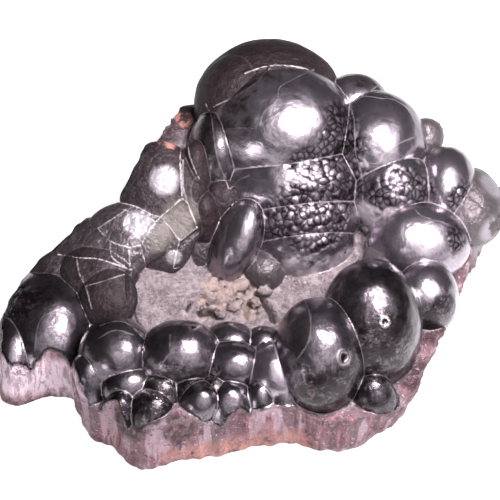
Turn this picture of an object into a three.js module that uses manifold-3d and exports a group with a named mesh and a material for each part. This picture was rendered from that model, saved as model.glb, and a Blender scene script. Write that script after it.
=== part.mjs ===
// Botryoidal hematite specimen: a crust of kidney-shaped lobes on a broken, fibrous base.
// Millimetres, +Z up. The origin is the middle of the bounding box on the face that it rests on.
import * as THREE from "three";
import { mergeVertices } from "three/addons/utils/BufferGeometryUtils.js";
import { ImprovedNoise } from "three/addons/math/ImprovedNoise.js";
import Module from "manifold-3d";

// Driving dimensions of the lobes.
const FACE_LENGTH = 3.4; // edge of a facet on a lobe of the reference radius
const REFERENCE_RADIUS = 10;
const FACE_GROWTH = 0.6; // power by which facets grow with the lobe
const COARSEST_DETAIL = 2; // fewest cuts of an icosahedron's edge
const LOBE_SWELL = 0.035; // how far a lobe swells from a true ellipsoid, as a share of its radius
const LOBE_SWELL_LENGTH = 0.62; // length of one swell, in radii
const LOBE_SEED_STEP = 7.31; // sets each lobe in its own part of the noise

// Driving dimensions of the broken stone.
const BLOCK_HEIGHT = 70; // taller than any lobe: the block only cuts the sides
const BLOCK_WALL_RINGS = 20;
const FRACTURE_ROUGHNESS = 1.1;
const FRACTURE_LENGTH = 7;
const FRACTURE_SEED = 1.3;
const COLUMN_DEPTH = 0.5; // fluting left by the fibres on the broken sides
const COLUMN_WIDTH = 3.2;
const LEANS = [ // focus: how narrowly a lean keeps to its direction
  { toward: -8, out: 10, height: 14, focus: 3 }, // the right side overhangs the foot
  { toward: 155, out: -8, height: 26, focus: 5 }, // the back-left side slopes in
];

// Driving dimensions of the matte ground between the lobes.
const GROUND_ROUGHNESS = 0.9;
const GROUND_LENGTH = 5;
const GROUND_SEED = 3.7;
const GROUND_MARGIN = 6; // how far the ground runs past the plan before the block cuts it
const GROUND_RINGS = 11;
const GROUND_WALL_RINGS = 3;
const MARK_SOFTNESS = 6; // square millimetres added to a mark's distance, so that it stays rounded
const MARK_POWER = 1.8;
const PLAN_STEPS = 84;
const SIMPLIFY_TOLERANCE = 0.22;

// Lobes of the crust. at: centre. half: half sizes. lean: turn about X in degrees, roll: about Y.
const LOBES = [
  // The great dome at the back, a stack of swellings that steps down towards the front.
  { name: "dome crown", at: [6.4, 25.4, 29.3], half: [15.6, 13.6, 14.4] },
  { name: "dome back", at: [4, 33.2, 31.7], half: [15, 11.6, 12.8] },
  { name: "dome shoulder", at: [-1.6, 30.6, 32], half: [10, 10, 11.6] },
  { name: "dome left strip", at: [-6.8, 21.5, 25.5], half: [6.2, 9, 11] },
  { name: "dome second", at: [8.6, 17.6, 21.6], half: [15, 11.6, 12] },
  { name: "dome third", at: [9.8, 12.9, 18], half: [13, 10, 10] },
  { name: "dome foot", at: [10.8, 8.8, 14.2], half: [10.8, 8.4, 8.8] },
  { name: "dome flank upper", at: [-11, 16, 24], half: [3.8, 6, 10] },
  { name: "dome flank middle", at: [-11.4, 11, 21.5], half: [3.6, 5.4, 8] },
  { name: "dome flank lower", at: [-9.4, 8.6, 19], half: [3.8, 4.8, 8] },
  { name: "dome flank bead", at: [-6, 12, 21.5], half: [4.6, 4.6, 5.6] },
  { name: "long kidney", at: [-3, 5, 17.2], half: [5, 6.2, 9.8], lean: -20, roll: 25 },
  { name: "long kidney toe", at: [2.8, 2.2, 12], half: [4.4, 4.2, 4.2] },
  // Lobes to the right of the dome.
  { name: "right upper", at: [26, 24, 25.8], half: [10.4, 11.4, 12.5] },
  { name: "right upper cap", at: [21.6, 31.2, 32], half: [7.2, 6.2, 6.3] },
  { name: "right upper foot", at: [29, 15.5, 20.8], half: [9, 9, 10.2] },
  { name: "right chip", at: [36.2, 27.2, 26.4], half: [4, 4, 4.2] },
  { name: "right outer", at: [40.2, 17, 20], half: [6.6, 9, 10] },
  { name: "right flange", at: [44.8, 14.6, 17.8], half: [7.4, 9, 8] },
  { name: "mid right", at: [34, 5.2, 16.4], half: [10.6, 8.6, 8.9] },
  { name: "mid right facet", at: [28, 2, 14], half: [5.6, 5, 5.6] },
  { name: "right low", at: [35.2, -6.6, 12.8], half: [6.6, 7.2, 7.8] },
  { name: "great low", at: [23.8, -15.4, 14], half: [10.2, 12.6, 13.5] },
  { name: "great low toe", at: [24, -29.4, 5], half: [5.2, 5, 8.4] },
  { name: "middle low", at: [13.4, -23.8, 13.4], half: [9.2, 11.6, 12] },
  { name: "middle toe", at: [5.2, -26.4, 10.6], half: [6.6, 6.8, 7.2] },
  // The cluster in front of the hollow.
  { name: "front button", at: [-13.6, -23.8, 13.6], half: [8.2, 7.5, 7.4] },
  { name: "front button right", at: [-4, -19.7, 12.6], half: [5.4, 4.8, 5] },
  { name: "front bead", at: [2.4, -19.8, 12.2], half: [4.4, 4.2, 4.2] },
  { name: "front middle", at: [-3.6, -25.6, 12.6], half: [6.4, 5.2, 5.2] },
  { name: "front low left", at: [-17, -31, 8.6], half: [5, 4.8, 6.6] },
  { name: "front low", at: [-11.5, -30.4, 10.3], half: [4.4, 4.6, 4.6] },
  { name: "front low right", at: [-7, -30.6, 10.4], half: [3.8, 3.8, 4] },
  { name: "front foot", at: [-4, -32, 5], half: [6.2, 6.2, 9.2] },
  { name: "front foot left", at: [-9.6, -33.2, 10.6], half: [4.2, 4.2, 4.4] },
  { name: "front foot right", at: [2, -31.4, 7], half: [4, 4.2, 7] },
  { name: "front edge", at: [-18.8, -34.6, 9.2], half: [4.8, 4.8, 5.2] },
  { name: "front edge left", at: [-24.8, -34.2, 4.6], half: [4.4, 5, 9.4] },
  { name: "front edge right", at: [6.4, -30.6, 8.6], half: [4.2, 4.2, 4.8] },
  // The cluster on the left.
  { name: "left great", at: [-40.5, -10.4, 4.6], half: [12.1, 14.8, 14.6] },
  { name: "left corner", at: [-46.4, -16, 5.4], half: [5.8, 11.5, 10.4] },
  { name: "left facet far", at: [-38.4, -2.5, 15.9], half: [6, 5.4, 3.6], lean: 25 },
  { name: "left facet", at: [-30.2, -4.9, 17.2], half: [8, 7, 3.8], lean: 34 },
  { name: "left facet near", at: [-28.2, -9.6, 15.8], half: [6, 6.8, 3.4], lean: 36 },
  { name: "left banded", at: [-26, -22.6, 13], half: [7.4, 7.6, 7.5] },
  { name: "left low", at: [-31, -26.4, 6.4], half: [5.2, 6, 9.8] },
  { name: "left low right", at: [-23.8, -29.2, 10.8], half: [5.2, 4.4, 4.6] },
  // Flat plates on the back-left slope and at the back of the hollow.
  { name: "plate middle", at: [-24.4, 2.4, 21.7], half: [9, 6.8, 3], lean: 38, roll: -6 },
  { name: "plate left", at: [-33, 0.4, 18.2], half: [11.4, 7.4, 3.6], lean: 32, roll: -16 },
  { name: "plate small left", at: [-28.2, -0.8, 20.2], half: [6, 5, 2.4], lean: 40 },
  { name: "plate small right", at: [-24.8, -1.2, 20.4], half: [5, 5, 2.4], lean: 46, roll: 2 },
  { name: "plate right", at: [-15.4, 5.6, 23.1], half: [6.2, 7.6, 2.8], lean: 48, roll: 6 },
  { name: "plate inner", at: [-18, 2.8, 20.8], half: [7, 8, 2.6], lean: 52, roll: 2 },
  { name: "plate upper", at: [-18.2, 10.2, 26.9], half: [8.2, 9.8, 3.8], lean: 40 },
  { name: "plate low", at: [-11.4, 5.4, 14.6], half: [7, 7.4, 3.2], lean: 62, roll: -6 },
  // The hidden slope behind the dome.
  { name: "back left", at: [-12, 30, 21], half: [7.5, 8, 9.8] },
  { name: "back middle", at: [1, 36.5, 16], half: [10, 7.5, 9.8] },
  { name: "back right", at: [17, 33.5, 18], half: [10, 8, 10.8] },
  { name: "back far right", at: [29, 27.5, 16], half: [8.6, 8, 9.8] },
  { name: "back left low", at: [-15.4, 26.4, 12], half: [6.6, 6.8, 7.8] },
  { name: "back middle low left", at: [-8, 35.2, 8.8], half: [7, 6, 6.8] },
  { name: "back middle low", at: [9.5, 38, 8.4], half: [7, 5.8, 6.4] },
  { name: "back right low", at: [23.6, 32.8, 8.8], half: [6.6, 6, 6.6] },
  { name: "back far right low", at: [34.4, 24, 10.2], half: [6.2, 6, 6.6] },
];

// Loose-looking chips that are grown fast in the hollow.
const CHIPS = [
  { name: "chip 1", at: [-8, 3, 12.7], half: [2.2, 1.5, 1.3], lean: 20, roll: 15 },
  { name: "chip 2", at: [-4.6, 0.5, 11.7], half: [2, 1.6, 1.2], lean: -15, roll: -25 },
  { name: "chip 3", at: [-1.5, -1.5, 11.1], half: [2.4, 1.4, 1.1], lean: 10, roll: 30 },
  { name: "chip 4", at: [-7, -3.5, 10.3], half: [1.9, 1.7, 1.2], lean: -30, roll: 10 },
  { name: "chip 5", at: [-3, -5.5, 9.9], half: [2.3, 1.5, 1.2], lean: 25, roll: -15 },
  { name: "chip 6", at: [1, -5.2, 10.1], half: [1.8, 1.3, 1.4], lean: 0, roll: 35 },
  { name: "chip 7", at: [-6, -8, 9.7], half: [1.7, 1.3, 1], lean: -20, roll: 20 },
  { name: "chip 8", at: [-10, -6.5, 10.1], half: [1.6, 1.5, 1], lean: 15, roll: -30 },
  { name: "chip 9", at: [3, -2.4, 10.7], half: [1.9, 1.2, 1.1], lean: -10, roll: 15 },
  { name: "chip 10", at: [-0.5, 2, 12.3], half: [1.7, 1.2, 1], lean: 30, roll: 0 },
];

// Plan of the broken edge at the foot, anticlockwise from the right.
const PLAN = [
  [43.6, 13], [45, 18], [43, 23], [38, 28], [31, 34], [22, 39], [11, 43], [0, 43.5], [-9, 41],
  [-16, 35], [-22, 28], [-28, 19], [-33, 13], [-41, 6], [-47, -3], [-50.4, -13], [-49.6, -21.4],
  [-46.6, -24.6], [-43, -22.8], [-40, -21.4], [-37, -21.4], [-34, -23.6], [-32.4, -28], [-30.5, -32.6],
  [-27.4, -34.6], [-25, -38.6], [-21.4, -41], [-17, -39.6], [-10, -38], [-3, -36.6], [1, -35.2], [9, -35],
  [14, -36.6], [18, -36.6], [20.4, -34.6], [25.6, -31.4], [28.4, -29.2], [30, -25.6], [30.6, -19],
  [32.8, -11], [36, -3], [38.5, 3], [41, 8.4],
];

// Height of the matte ground at marked places: [x, y, z].
const GROUND = [
  [0, 30, 26], [20, 28, 24], [34, 22, 19], [46, 15, 16], [10, 10, 14], [30, 8, 13], [36, -4, 10],
  [26, -16, 11], [14, -24, 11], [28, -28, 7.5], [16, -36, 9], [4, -34, 11], [-6, -28, 10],
  [-14, -25, 11.5], [-4, -20, 10.5], [-4, -38, 8.5], [-15, -38, 12], [-26, -38, 8.5], [-26, -25, 11],
  [-32, -28, 8.5], [-46, -20, 8], [-40, -12, 11.5], [-48, -6, 9], [-39, -1, 14.5], [-30, -4, 17],
  [-25, -4, 18], [-14, -2, 15], [-17, -12, 9.5], [-8, -10, 8.5], [-10, 0, 13], [-2, -9, 8],
  [6, -7, 8.5], [-19, -3, 16.5], [-26, 2, 20.5], [-33, 0, 17.5], [-14, 5, 19.5], [-20, 11, 27],
  [-17, 19, 31], [-8, 14, 22], [-30, 8, 19.5], [-36, 4, 17], [-24, 17, 23.5], [-44, 0, 12.5],
  [-17, 26, 30], [-8, 40, 10], [10, 42, 9], [30, 36, 9],
];

const ICOSAHEDRON_FACES = 20;
const EQUILATERAL_SHARE = Math.sqrt(3) / 4; // area of an equilateral triangle of edge 1
const MERGE_DISTANCE = 1e-4;
const wasm = await Module();
wasm.setup();
const noise = new ImprovedNoise();

/** Rough field at a point: one noise octave and a finer, weaker one. */
function roughness(x, y, z, length, seed) {
  const finer = 2.3;
  const weaker = 0.5;
  const coarse = noise.noise(x / length + seed, y / length, z / length);
  const fine = noise.noise((finer * x) / length, (finer * y) / length + seed, (finer * z) / length);
  return coarse + weaker * fine;
}

/** Turns a closed three.js geometry into a solid. */
function solidOf(geometry) {
  const bare = geometry.clone();
  bare.deleteAttribute("normal");
  bare.deleteAttribute("uv");
  const merged = mergeVertices(bare, MERGE_DISTANCE);
  return new wasm.Manifold(new wasm.Mesh({
    numProp: 3,
    vertProperties: Float32Array.from(merged.attributes.position.array),
    triVerts: Uint32Array.from(merged.index.array),
  }));
}

/** An unevenly swollen ellipsoid of a detail that is the number of cuts of each edge. */
function ellipsoid({ at, half, lean = 0, roll = 0 }, detail, seed) {
  const geometry = new THREE.IcosahedronGeometry(1, detail);
  const position = geometry.attributes.position;
  const size = new THREE.Vector3(...half);
  const centre = new THREE.Vector3(...at);
  const turn = new THREE.Euler(THREE.MathUtils.degToRad(lean), THREE.MathUtils.degToRad(roll), 0, "ZYX");
  const point = new THREE.Vector3();
  for (let i = 0; i < position.count; i += 1) {
    point.fromBufferAttribute(position, i);
    const swell = LOBE_SWELL * roughness(point.x, point.y, point.z, LOBE_SWELL_LENGTH, seed);
    point.multiplyScalar(1 + swell).multiply(size).applyEuler(turn).add(centre);
    position.setXYZ(i, point.x, point.y, point.z);
  }
  return solidOf(geometry);
}

/** One lobe, with facets that suit its size. */
function lobeSolid(lobe, index) {
  const radius = Math.cbrt(lobe.half[0] * lobe.half[1] * lobe.half[2]);
  const edge = FACE_LENGTH * (radius / REFERENCE_RADIUS) ** FACE_GROWTH;
  const faces = (4 * Math.PI * radius ** 2) / (EQUILATERAL_SHARE * edge ** 2);
  const detail = Math.max(COARSEST_DETAIL, Math.round(Math.sqrt(faces / ICOSAHEDRON_FACES)) - 1);
  return ellipsoid(lobe, detail, index * LOBE_SEED_STEP);
}

/** Places evenly spaced along the plan's edge, each with the direction that points out of it. */
function planEdge() {
  const outline = new THREE.Path(PLAN.map(([x, y]) => new THREE.Vector2(x, y)));
  outline.closePath();
  const spots = outline.getSpacedPoints(PLAN_STEPS).slice(0, PLAN_STEPS);
  return spots.map((spot, k) => {
    const along = spots[(k + 1) % PLAN_STEPS].clone().sub(spots.at(k - 1)).normalize();
    return { spot, outward: new THREE.Vector2(along.y, -along.x) };
  });
}

/** Height of the ground at a place, blended from the marks. */
function groundHeight(x, y) {
  let sum = 0;
  let weights = 0;
  GROUND.forEach(([mx, my, mz]) => {
    const weight = 1 / ((x - mx) ** 2 + (y - my) ** 2 + MARK_SOFTNESS) ** MARK_POWER;
    sum += weight * mz;
    weights += weight;
  });
  return sum / weights;
}

/**
 * Closed body over the plan: rings out to the edge, a wall down from there and a flat floor.
 * topHeight gives the height at a place, moved gives a place of the edge at a share of that height.
 */
function planBody(topHeight, moved, topRings, wallRings) {
  const edge = planEdge();
  const points = [0, 0, topHeight(0, 0)];
  const faces = [];
  const ringStarts = [];
  const addRing = (reachShare, heightShare) => {
    ringStarts.push(points.length / 3);
    edge.forEach((place) => {
      const { x, y } = moved(place, heightShare).multiplyScalar(reachShare);
      points.push(x, y, heightShare * topHeight(x, y));
    });
  };
  for (let i = 1; i <= topRings; i += 1) {
    addRing(i / topRings, 1);
  }
  for (let i = 1; i <= wallRings; i += 1) {
    addRing(1, 1 - i / wallRings);
  }
  const floorCentre = points.length / 3;
  points.push(0, 0, 0);
  for (let k = 0; k < PLAN_STEPS; k += 1) {
    const next = (k + 1) % PLAN_STEPS;
    faces.push(0, ringStarts[0] + k, ringStarts[0] + next);
    for (let i = 0; i + 1 < ringStarts.length; i += 1) {
      const inner = ringStarts[i];
      const outer = ringStarts[i + 1];
      faces.push(inner + k, outer + k, outer + next);
      faces.push(inner + k, outer + next, inner + next);
    }
    faces.push(floorCentre, ringStarts.at(-1) + next, ringStarts.at(-1) + k);
  }
  const geometry = new THREE.BufferGeometry();
  geometry.setAttribute("position", new THREE.Float32BufferAttribute(points, 3));
  geometry.setIndex(faces);
  return solidOf(geometry);
}

/** The matte ground that the lobes grow from. */
function groundSolid() {
  const height = (x, y) => {
    const rough = GROUND_ROUGHNESS * roughness(x, y, 0, GROUND_LENGTH, GROUND_SEED);
    return groundHeight(x, y) + rough;
  };
  const wider = ({ spot }) => spot.clone().setLength(spot.length() + GROUND_MARGIN);
  return planBody(height, wider, GROUND_RINGS, GROUND_WALL_RINGS);
}

/** The block that the specimen broke off as: its sides are rough, fluted and leaning. */
function blockSolid() {
  const moved = ({ spot, outward }, heightShare) => {
    const z = heightShare * BLOCK_HEIGHT;
    const rough = FRACTURE_ROUGHNESS * roughness(spot.x, spot.y, z, FRACTURE_LENGTH, FRACTURE_SEED);
    const column = COLUMN_DEPTH * Math.abs(Math.sin((spot.x + spot.y) / COLUMN_WIDTH));
    const place = spot.clone().addScaledVector(outward, rough - column);
    LEANS.forEach(({ toward, out, height, focus }) => {
      const angle = THREE.MathUtils.degToRad(toward);
      const facing = Math.max(0, Math.cos(spot.angle() - angle));
      const shift = out * facing ** focus * Math.min(1, z / height);
      place.add(new THREE.Vector2(Math.cos(angle), Math.sin(angle)).multiplyScalar(shift));
    });
    return place;
  };
  return planBody(() => BLOCK_HEIGHT, moved, 1, BLOCK_WALL_RINGS);
}

/** The outer skin alone: chips that hang free and pockets sealed inside are left out. */
function outerBody(solid) {
  return solid.decompose().reduce((a, b) => (a.volume() > b.volume() ? a : b));
}

/** A solid as a three.js geometry, with the middle of its foot on the origin. */
function geometryOf(solid) {
  const mesh = solid.getMesh();
  const geometry = new THREE.BufferGeometry();
  geometry.setAttribute("position", new THREE.BufferAttribute(mesh.vertProperties, 3));
  geometry.setIndex(new THREE.BufferAttribute(mesh.triVerts, 1));
  geometry.computeBoundingBox();
  const centre = geometry.boundingBox.getCenter(new THREE.Vector3());
  geometry.translate(-centre.x, -centre.y, -geometry.boundingBox.min.z);
  geometry.computeVertexNormals();
  return geometry;
}

/** The whole specimen: ground, chips and lobes grown together, broken off at the block's sides. */
function specimenSolid() {
  const chips = CHIPS.map((chip, index) => ellipsoid(chip, 0, index));
  const lobes = LOBES.map(lobeSolid);
  const grown = [...chips, ...lobes].reduce((sum, solid) => sum.add(solid), groundSolid());
  const broken = grown.intersect(blockSolid()).asOriginal().simplify(SIMPLIFY_TOLERANCE);
  return outerBody(broken);
}

const hematite = new THREE.Mesh(
  geometryOf(specimenSolid()),
  new THREE.MeshStandardMaterial({ color: 0x3a363a, roughness: 0.25, metalness: 0.85 }),
);
hematite.name = "hematite";

const specimen = new THREE.Group();
specimen.add(hematite);

export default specimen;
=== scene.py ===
"""A botryoidal hematite specimen: dark mirror-smooth lobes around a great dome, a matte hollow between
them, and a broken fibrous base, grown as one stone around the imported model."""
import math

import bmesh
import bpy
import numpy as np
from bpy.props import FloatProperty, FloatVectorProperty, PointerProperty
from mathutils import Euler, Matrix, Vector, noise
from mathutils.bvhtree import BVHTree
from mathutils.kdtree import KDTree


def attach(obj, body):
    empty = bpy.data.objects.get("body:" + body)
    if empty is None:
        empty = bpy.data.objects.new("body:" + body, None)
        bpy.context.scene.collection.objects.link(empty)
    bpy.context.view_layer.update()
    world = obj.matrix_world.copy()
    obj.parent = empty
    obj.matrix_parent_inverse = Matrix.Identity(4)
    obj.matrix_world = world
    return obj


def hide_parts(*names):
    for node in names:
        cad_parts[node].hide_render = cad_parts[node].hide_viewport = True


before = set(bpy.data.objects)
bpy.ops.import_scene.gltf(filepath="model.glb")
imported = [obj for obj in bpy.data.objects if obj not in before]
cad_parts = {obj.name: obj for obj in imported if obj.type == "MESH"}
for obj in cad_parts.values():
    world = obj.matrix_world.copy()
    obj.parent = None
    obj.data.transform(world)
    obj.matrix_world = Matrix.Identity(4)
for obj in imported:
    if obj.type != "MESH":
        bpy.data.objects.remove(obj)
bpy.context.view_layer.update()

bl_info = {
    "name": "Botryoidal hematite",
    "version": (1, 0, 0),
    "blender": (4, 5, 0),
    "location": "3D View > Sidebar > Stone",
    "description": "Grows a crust of kidney-shaped hematite lobes on a broken base",
    "category": "Object",
}

MM = 0.001
NODE = "hematite"
TARGET_HEIGHT = 19.8  # mm, height of the point that the camera looks at
CENTRE = (0.718, 1.257)  # mm, middle of the stone's box in the plan that the lobes are placed in

# ---------------------------------------------------------------- the stone's plan, in millimetres
# Lobes of the crust: name, centre, half sizes and, where it isn't upright, lean about X and roll
# about Y in degrees.
LOBES = (
    # The great dome at the back, a stack of swellings that steps down towards the front.
    ("dome crown", (6.4, 25.4, 29.3), (15.6, 13.6, 14.4)),
    ("dome back", (4, 33.2, 31.7), (15, 11.6, 12.8)),
    ("dome shoulder", (-1.6, 30.6, 32), (10, 10, 11.6)),
    ("dome left strip", (-6.8, 21.5, 25.5), (6.2, 9, 11)),
    ("dome second", (8.6, 17.6, 21.6), (15, 11.6, 12)),
    ("dome third", (9.8, 12.9, 18), (13, 10, 10)),
    ("dome foot", (10.8, 8.8, 14.2), (10.8, 8.4, 8.8)),
    ("dome flank upper", (-11, 16, 24), (3.8, 6, 10)),
    ("dome flank middle", (-11.4, 11, 21.5), (3.6, 5.4, 8)),
    ("dome flank lower", (-9.4, 8.6, 19), (3.8, 4.8, 8)),
    ("dome flank bead", (-6, 12, 21.5), (4.6, 4.6, 5.6)),
    ("long kidney", (-3, 5, 17.2), (5, 6.2, 9.8), -20, 25),
    ("long kidney toe", (2.8, 2.2, 12), (4.4, 4.2, 4.2)),
    # Lobes to the right of the dome.
    ("right upper", (26, 24, 25.8), (10.4, 11.4, 12.5)),
    ("right upper cap", (21.6, 31.2, 32), (7.2, 6.2, 6.3)),
    ("right upper foot", (29, 15.5, 20.8), (9, 9, 10.2)),
    ("right chip", (36.2, 27.2, 26.4), (4, 4, 4.2)),
    ("right outer", (40.2, 17, 20), (6.6, 9, 10)),
    ("right flange", (44.8, 14.6, 17.8), (7.4, 9, 8)),
    ("mid right", (34, 5.2, 16.4), (10.6, 8.6, 8.9)),
    ("mid right facet", (28, 2, 14), (5.6, 5, 5.6)),
    ("right low", (35.2, -6.6, 12.8), (6.6, 7.2, 7.8)),
    ("great low", (23.8, -15.4, 14), (10.2, 12.6, 13.5)),
    ("great low toe", (24, -29.4, 5), (5.2, 5, 8.4)),
    ("middle low", (13.4, -23.8, 13.4), (9.2, 11.6, 12)),
    ("middle toe", (5.2, -26.4, 10.6), (6.6, 6.8, 7.2)),
    # The cluster in front of the hollow.
    ("front button", (-13.6, -23.8, 13.6), (8.2, 7.5, 7.4)),
    ("front button right", (-4, -19.7, 12.6), (5.4, 4.8, 5)),
    ("front bead", (2.4, -19.8, 12.2), (4.4, 4.2, 4.2)),
    ("front middle", (-3.6, -25.6, 12.6), (6.4, 5.2, 5.2)),
    ("front low left", (-17, -31, 8.6), (5, 4.8, 6.6)),
    ("front low", (-11.5, -30.4, 10.3), (4.4, 4.6, 4.6)),
    ("front low right", (-7, -30.6, 10.4), (3.8, 3.8, 4)),
    ("front foot", (-4, -32, 5), (6.2, 6.2, 9.2)),
    ("front foot left", (-9.6, -33.2, 10.6), (4.2, 4.2, 4.4)),
    ("front foot right", (2, -31.4, 7), (4, 4.2, 7)),
    ("front edge", (-18.8, -34.6, 9.2), (4.8, 4.8, 5.2)),
    ("front edge left", (-24.8, -34.2, 4.6), (4.4, 5, 9.4)),
    ("front edge right", (6.4, -30.6, 8.6), (4.2, 4.2, 4.8)),
    # The cluster on the left.
    ("left great", (-40.5, -10.4, 4.6), (12.1, 14.8, 14.6)),
    ("left corner", (-46.4, -16, 5.4), (5.8, 11.5, 10.4)),
    ("left facet far", (-38.4, -2.5, 15.9), (6, 5.4, 3.6), 25, 0),
    ("left facet", (-30.2, -4.9, 17.2), (8, 7, 3.8), 34, 0),
    ("left facet near", (-28.2, -9.6, 15.8), (6, 6.8, 3.4), 36, 0),
    ("left banded", (-26, -22.6, 13), (7.4, 7.6, 7.5)),
    ("left low", (-31, -26.4, 6.4), (5.2, 6, 9.8)),
    ("left low right", (-23.8, -29.2, 10.8), (5.2, 4.4, 4.6)),
    # Flat plates on the back-left slope and at the back of the hollow.
    ("plate middle", (-24.4, 2.4, 21.7), (9, 6.8, 3), 38, -6),
    ("plate left", (-33, 0.4, 18.2), (11.4, 7.4, 3.6), 32, -16),
    ("plate small left", (-28.2, -0.8, 20.2), (6, 5, 2.4), 40, 0),
    ("plate small right", (-24.8, -1.2, 20.4), (5, 5, 2.4), 46, 2),
    ("plate right", (-15.4, 5.6, 23.1), (6.2, 7.6, 2.8), 48, 6),
    ("plate inner", (-18, 2.8, 20.8), (7, 8, 2.6), 52, 2),
    ("plate upper", (-18.2, 10.2, 26.9), (8.2, 9.8, 3.8), 40, 0),
    ("plate low", (-11.4, 5.4, 14.6), (7, 7.4, 3.2), 62, -6),
    # The hidden slope behind the dome.
    ("back left", (-12, 30, 21), (7.5, 8, 9.8)),
    ("back middle", (1, 36.5, 16), (10, 7.5, 9.8)),
    ("back right", (17, 33.5, 18), (10, 8, 10.8)),
    ("back far right", (29, 27.5, 16), (8.6, 8, 9.8)),
    ("back left low", (-15.4, 26.4, 12), (6.6, 6.8, 7.8)),
    ("back middle low left", (-8, 35.2, 8.8), (7, 6, 6.8)),
    ("back middle low", (9.5, 38, 8.4), (7, 5.8, 6.4)),
    ("back right low", (23.6, 32.8, 8.8), (6.6, 6, 6.6)),
    ("back far right low", (34.4, 24, 10.2), (6.2, 6, 6.6)),
)

# Chips grown fast in the hollow, given as the lobes are.
CHIPS = (
    ("chip 1", (-8, 3, 12.7), (2.2, 1.5, 1.3), 20, 15),
    ("chip 2", (-4.6, 0.5, 11.7), (2, 1.6, 1.2), -15, -25),
    ("chip 3", (-1.5, -1.5, 11.1), (2.4, 1.4, 1.1), 10, 30),
    ("chip 4", (-7, -3.5, 10.3), (1.9, 1.7, 1.2), -30, 10),
    ("chip 5", (-3, -5.5, 9.9), (2.3, 1.5, 1.2), 25, -15),
    ("chip 6", (1, -5.2, 10.1), (1.8, 1.3, 1.4), 0, 35),
    ("chip 7", (-6, -8, 9.7), (1.7, 1.3, 1), -20, 20),
    ("chip 8", (-10, -6.5, 10.1), (1.6, 1.5, 1), 15, -30),
    ("chip 9", (3, -2.4, 10.7), (1.9, 1.2, 1.1), -10, 15),
    ("chip 10", (-0.5, 2, 12.3), (1.7, 1.2, 1), 30, 0),
)

FORMS = LOBES + CHIPS

# Plan of the broken edge at the foot, anticlockwise from the right.
PLAN = (
    (43.6, 13), (45, 18), (43, 23), (38, 28), (31, 34), (22, 39), (11, 43), (0, 43.5), (-9, 41),
    (-16, 35), (-22, 28), (-28, 19), (-33, 13), (-41, 6), (-47, -3), (-50.4, -13), (-49.6, -21.4),
    (-46.6, -24.6), (-43, -22.8), (-40, -21.4), (-37, -21.4), (-34, -23.6), (-32.4, -28), (-30.5, -32.6),
    (-27.4, -34.6), (-25, -38.6), (-21.4, -41), (-17, -39.6), (-10, -38), (-3, -36.6), (1, -35.2),
    (9, -35), (14, -36.6), (18, -36.6), (20.4, -34.6), (25.6, -31.4), (28.4, -29.2), (30, -25.6),
    (30.6, -19), (32.8, -11), (36, -3), (38.5, 3), (41, 8.4),
)

# Height of the matte ground at marked places: x, y, z.
GROUND = (
    (0, 30, 26), (20, 28, 24), (34, 22, 19), (46, 15, 16), (10, 10, 14), (30, 8, 13), (36, -4, 10),
    (26, -16, 11), (14, -24, 11), (28, -28, 7.5), (16, -36, 9), (4, -34, 11), (-6, -28, 10),
    (-14, -25, 11.5), (-4, -20, 10.5), (-4, -38, 8.5), (-15, -38, 12), (-26, -38, 8.5), (-26, -25, 11),
    (-32, -28, 8.5), (-46, -20, 8), (-40, -12, 11.5), (-48, -6, 9), (-39, -1, 14.5), (-30, -4, 17),
    (-25, -4, 18), (-14, -2, 15), (-17, -12, 9.5), (-8, -10, 8.5), (-10, 0, 13), (-2, -9, 8),
    (6, -7, 8.5), (-19, -3, 16.5), (-26, 2, 20.5), (-33, 0, 17.5), (-14, 5, 19.5), (-20, 11, 27),
    (-17, 19, 31), (-8, 14, 22), (-30, 8, 19.5), (-36, 4, 17), (-24, 17, 23.5), (-44, 0, 12.5),
    (-17, 26, 30), (-8, 40, 10), (10, 42, 9), (30, 36, 9),
)

# Leans of the broken sides: direction in degrees, how far the side moves out, over what height, and
# how narrowly it keeps to the direction.
LEANS = ((-8, 10, 14, 3), (155, -8, 26, 5))
BLOCK_HEIGHT = 70  # mm, above every lobe
SIDE_HEIGHT = 30.0  # mm, up to which the broken sides are cut finely
GROUND_MARGIN = 6  # mm that the ground reaches past the plan's edge
GROUND_FOOT = -1.0  # mm, height of the foot of the ground
MARK_SOFTNESS = 6  # mm2, how softly the ground passes over a mark
MARK_POWER = 1.8  # how fast a mark loses hold with distance

BALL_CUTS = (1, 4, 5, 6)  # subdivisions of a chip, a small, a middling and a large lobe
BALL_SIZES = (4.4, 9.5)  # mm, mean half size at which a lobe counts as middling and as large
WELD = 0.06  # mm, slivers of the joined stone that are welded
FEWEST_FACES = 1000  # of a stone whose lobes have joined

# What a face of the stone belongs to where it isn't a lobe, whose number is used otherwise.
ON_GROUND, ON_SIDE, ON_FLOOR = -1, -2, -3
FORM_LEAD = 0.5  # share of a lobe's distance below which a face is the ground's or a side's
BROKEN_MARGIN = 5.0  # mm from the broken sides where the ground turns to broken stone
SIDE_SKIN = 0.03  # mm from the broken sides within which a face always belongs to them
FLOOR_SKIN = 0.02  # mm from the floor within which a face belongs to the underside
SETTLE_STEPS = 2  # times that a point is moved towards its lobe's true surface
FAR = 3.0  # mm, beyond which a stored distance isn't told apart
CORNER_ROUNDING = 3  # times that the plan's corners are smoothed
FRACTURE_LUMPS = ((9.0, 1.0), (3.4, 0.6), (1.5, 0.3))  # length in mm and share of each size of lump
FIBRE_STRETCH = 0.35  # how much flatter in height the noise of the broken sides is

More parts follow.
